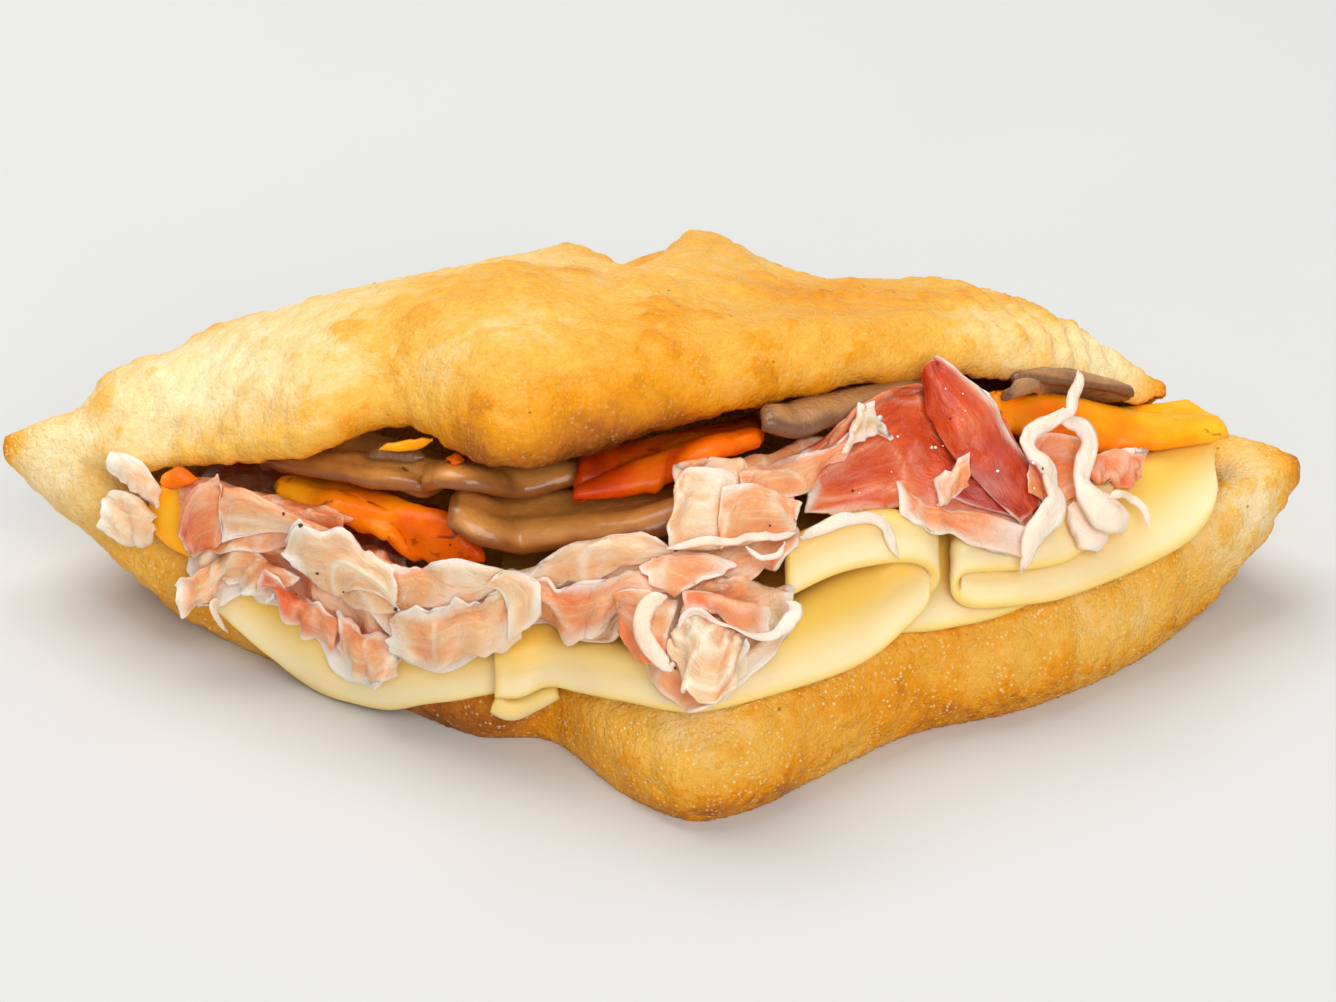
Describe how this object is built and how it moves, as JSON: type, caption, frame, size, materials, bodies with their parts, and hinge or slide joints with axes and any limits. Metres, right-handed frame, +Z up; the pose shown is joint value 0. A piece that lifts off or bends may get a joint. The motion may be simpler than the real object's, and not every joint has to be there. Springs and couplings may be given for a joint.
{
  "type": "filled fried flatbread",
  "caption": "Diamond of golden fried dough, split like a pocket and filled with cheese slices, thin cured ham, mushroom slices and roasted pepper strips.",
  "frame": {"origin": "on the ground under the middle of the flat underside, midway between the two tips", "axes": "+X from the left tip to the right tip, +Y from the open front to the closed back, +Z up"},
  "size_m": [0.179, 0.1205, 0.0508],
  "materials": {
    "fried_dough": "golden fried dough, blistered and lightly oiled",
    "cheese": "soft sliced cheese, satin",
    "cured_ham": "thin cured ham, moist",
    "ham_fat": "white rim of fat of the ham, moist",
    "roasted_pepper": "roasted pepper, oily",
    "mushroom": "cooked mushroom, wet cut face"
  },
  "bodies": {
    "root": {"crust": "fried_dough", "cheese_left": "cheese", "cheese_right": "cheese", "cheese_middle": "cheese", "ham_left_ruffles": "cured_ham", "ham_lean_lower": "cured_ham", "pepper_under": "roasted_pepper", "pepper_end": "roasted_pepper", "pepper_strip_left": "roasted_pepper", "mushroom_middle": "mushroom", "mushroom_left": "mushroom", "ham_end_lower": "ham_fat", "ham_end_upper": "ham_fat", "ham_roll": "cured_ham", "ham_front_middle": "cured_ham", "ham_front_left": "cured_ham", "ham_tail": "cured_ham", "pepper_strip_middle": "roasted_pepper", "mushroom_grilled": "mushroom", "pepper_strip_right": "roasted_pepper", "mushroom_right": "mushroom", "ham_lobe_low": "ham_fat", "ham_back": "cured_ham", "ham_lean": "cured_ham", "ham_flap": "cured_ham", "ham_lean_flap": "cured_ham", "ham_rim": "ham_fat", "ham_bit": "cured_ham", "ham_lobe": "ham_fat", "ham_curl": "ham_fat"}
  },
  "joints": []
}
